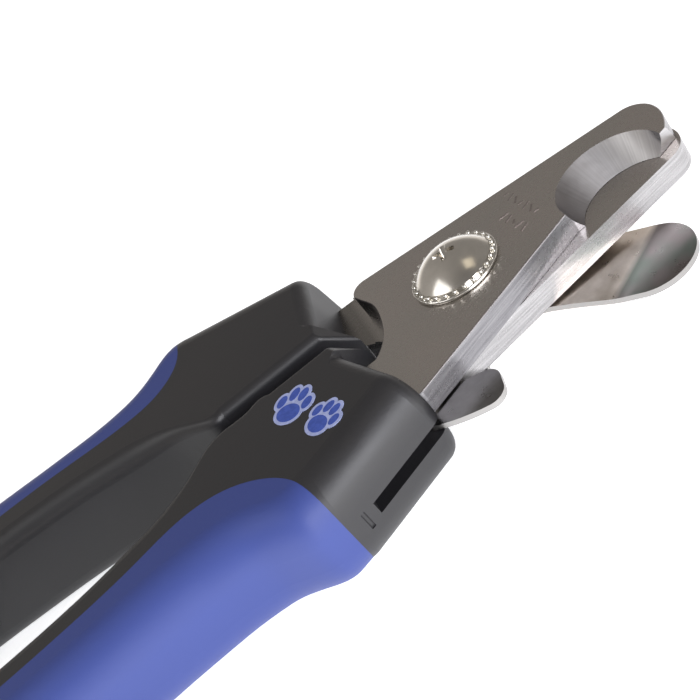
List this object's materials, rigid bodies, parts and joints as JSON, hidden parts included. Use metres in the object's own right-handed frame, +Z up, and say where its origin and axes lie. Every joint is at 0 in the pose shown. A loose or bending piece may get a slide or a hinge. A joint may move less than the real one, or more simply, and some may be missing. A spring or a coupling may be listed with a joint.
{
  "type": "scissor nail clipper",
  "caption": "Pliers-type pet nail clipper with notched steel blades, a swing-out nail guard, a return spring, a lock latch and soft-grip handles.",
  "frame": {"origin": "middle of the closed clipper's bounding box, on the surface that it lies on", "axes": "+X to the blade tips, +Z up along the pivot axis, +Y to the left handle"},
  "size_m": [0.1554, 0.0492, 0.013],
  "materials": {
    "blade_steel": "satin ground",
    "guard_steel": "polished",
    "bright_steel": "mirror",
    "spring_steel": "plain",
    "latch_steel": "satin",
    "black_plastic": "satin",
    "seat_plastic": "satin",
    "blue_rubber": "soft matte"
  },
  "bodies": {
    "left_lever": {"bottom_blade": "blade_steel", "left_handle": "black_plastic", "left_grip": "blue_rubber", "left_tang_screws": "spring_steel", "left_spring_seat": "seat_plastic", "catch_pin": "spring_steel", "pivot_screw": "bright_steel", "flat_washer": "bright_steel", "serrated_washer": "bright_steel", "wave_washer": "spring_steel", "pivot_nut": "bright_steel", "return_spring": "spring_steel"},
    "right_lever": {"top_blade": "blade_steel", "right_handle": "black_plastic", "right_grip": "blue_rubber", "right_tang_screws": "spring_steel", "right_spring_seat": "seat_plastic", "latch_pin": "spring_steel"},
    "guard": {"nail_guard": "guard_steel"},
    "latch": {"lock_latch": "latch_steel"}
  },
  "joints": [
    {"name": "lever_pivot", "type": "hinge", "parent": "left_lever", "child": "right_lever", "pos_m": [0.04876, -0.00108, 0.0062], "axis": [0, 0, 1], "range_deg": [0, 24], "deforming": ["return_spring"]},
    {"name": "guard_pivot", "type": "hinge", "parent": "left_lever", "child": "guard", "pos_m": [0.04876, -0.00108, 0.0027], "axis": [0, 0, 1], "range_deg": [0, 33]},
    {"name": "latch_pivot", "type": "hinge", "parent": "right_lever", "child": "latch", "pos_m": [-0.06324, -0.01568, 0.0064], "axis": [0, 0, 1], "range_deg": [0, 90]}
  ]
}
